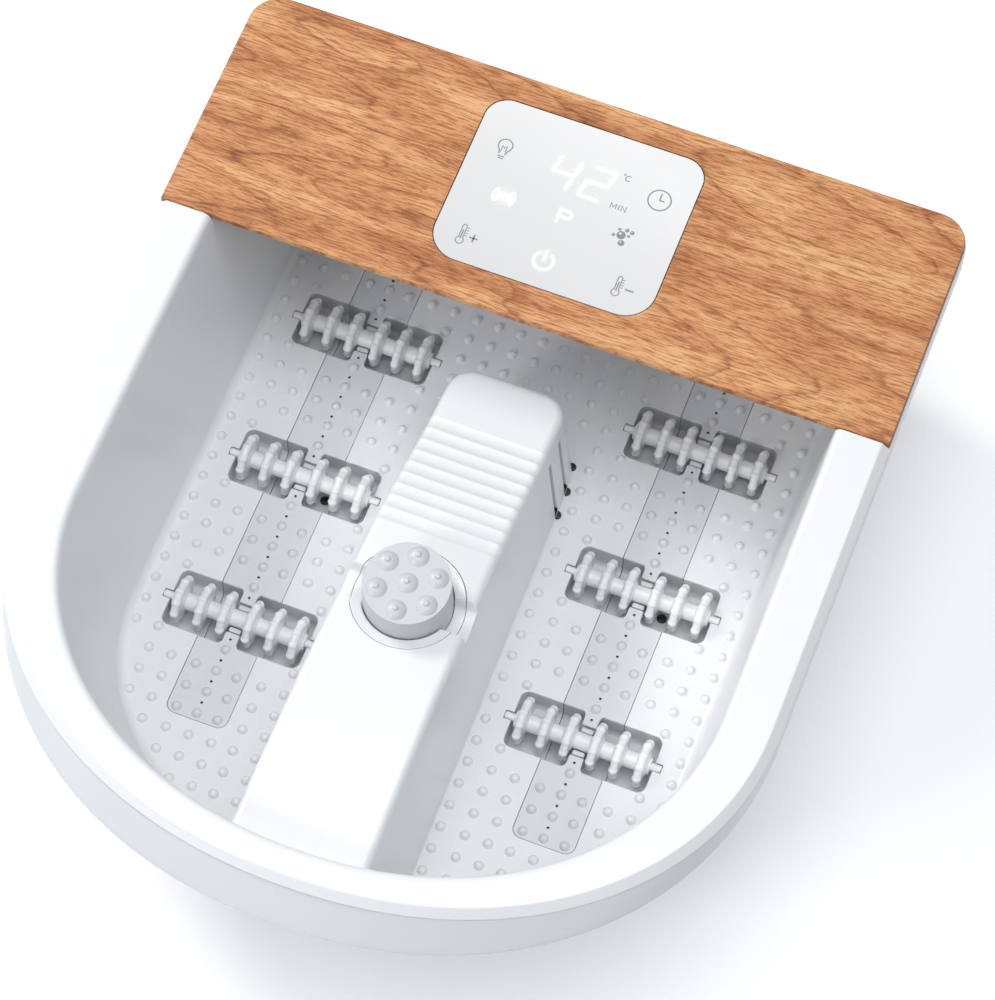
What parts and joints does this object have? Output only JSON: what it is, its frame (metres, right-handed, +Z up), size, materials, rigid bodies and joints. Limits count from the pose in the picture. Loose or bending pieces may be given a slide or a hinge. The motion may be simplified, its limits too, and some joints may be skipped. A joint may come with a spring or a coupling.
{
  "type": "foot spa bath",
  "caption": "Foot bath basin with massage rollers in its floor, a central raised hump with a lift-off massage attachment, and a wood-look rear cover with a touch panel.",
  "frame": {"origin": "on the ground, under the middle of the object's box", "axes": "+Z up, -Y towards the user, +X to the user's right; the rear cover is at +Y"},
  "size_m": [0.391, 0.4654, 0.16],
  "materials": {
    "white_plastic": "white satin-gloss moulding",
    "pale_grey_plastic": "pale grey satin moulding",
    "roller_plastic": "off-white satin moulding",
    "wood_look": "warm brown wood-grain print, satin",
    "panel_glass": "light grey touch glass, printed behind",
    "dark_rubber": "matt dark rubber",
    "steel": "plain zinc-plated steel",
    "clear_hose": "milky soft hose",
    "circuit_board": "green lacquered board",
    "black_plastic": "black plastic",
    "aluminium": "bare aluminium"
  },
  "bodies": {
    "tub": {"basin": "white_plastic", "outer_shell": "white_plastic", "base_cover": "white_plastic", "control_housing": "white_plastic", "attachment_seat": "white_plastic", "strip_left": "pale_grey_plastic", "strip_right": "pale_grey_plastic", "blower_housing": "pale_grey_plastic", "blower_cover": "pale_grey_plastic", "air_manifold": "pale_grey_plastic", "ribbon_cable": "pale_grey_plastic", "wood_cover": "wood_look", "touch_panel": "panel_glass", "foot_front_left": "dark_rubber", "foot_front_right": "dark_rubber", "foot_back_left": "dark_rubber", "foot_back_right": "dark_rubber", "base_screw_front_left": "steel", "base_screw_front_right": "steel", "base_screw_back_left": "steel", "base_screw_back_right": "steel", "motor_bracket": "steel", "vibration_motor": "steel", "temperature_sensor": "steel", "blower_motor": "steel", "air_hose_left": "clear_hose", "air_hose_right": "clear_hose", "display_board": "circuit_board", "power_board": "circuit_board", "lamp_board": "circuit_board", "digit_display": "black_plastic", "strip_screw_left": "black_plastic", "strip_screw_right": "black_plastic", "thermal_cutout": "black_plastic", "transformer": "black_plastic", "relay": "black_plastic", "cord_gland": "black_plastic", "heater_left": "aluminium", "heater_right": "aluminium", "capacitor": "aluminium"},
    "roller_left_back": {"roller_left_back": "roller_plastic"},
    "roller_left_middle": {"roller_left_middle": "roller_plastic"},
    "roller_left_front": {"roller_left_front": "roller_plastic"},
    "roller_right_back": {"roller_right_back": "roller_plastic"},
    "roller_right_middle": {"roller_right_middle": "roller_plastic"},
    "roller_right_front": {"roller_right_front": "roller_plastic"},
    "blower_impeller": {"blower_impeller": "black_plastic"},
    "vibration_weight": {"vibration_weight": "steel"},
    "massage_attachment": {"massage_attachment": "pale_grey_plastic"}
  },
  "joints": [
    {"name": "roller_left_back_spin", "type": "hinge", "parent": "tub", "child": "roller_left_back", "pos_m": [-0.0944, 0.119, 0.0383], "axis": [1, 0, 0], "continuous": true},
    {"name": "roller_left_middle_spin", "type": "hinge", "parent": "tub", "child": "roller_left_middle", "pos_m": [-0.0944, 0.0315, 0.0383], "axis": [1, 0, 0], "continuous": true},
    {"name": "roller_left_front_spin", "type": "hinge", "parent": "tub", "child": "roller_left_front", "pos_m": [-0.0944, -0.056, 0.0383], "axis": [1, 0, 0], "continuous": true},
    {"name": "roller_right_back_spin", "type": "hinge", "parent": "tub", "child": "roller_right_back", "pos_m": [0.0944, 0.119, 0.0383], "axis": [1, 0, 0], "continuous": true},
    {"name": "roller_right_middle_spin", "type": "hinge", "parent": "tub", "child": "roller_right_middle", "pos_m": [0.0944, 0.0315, 0.0383], "axis": [1, 0, 0], "continuous": true},
    {"name": "roller_right_front_spin", "type": "hinge", "parent": "tub", "child": "roller_right_front", "pos_m": [0.0944, -0.056, 0.0383], "axis": [1, 0, 0], "continuous": true},
    {"name": "impeller_spin", "type": "hinge", "parent": "tub", "child": "blower_impeller", "pos_m": [-0.06, 0.186, 0.0757], "axis": [0, 1, 0], "continuous": true},
    {"name": "weight_spin", "type": "hinge", "parent": "tub", "child": "vibration_weight", "pos_m": [0.017, -0.12, 0.0487], "axis": [1, 0, 0], "continuous": true},
    {"name": "attachment_lift", "type": "slide", "parent": "tub", "child": "massage_attachment", "axis": [0, 0, 1], "range_m": [0, 0.04]}
  ]
}
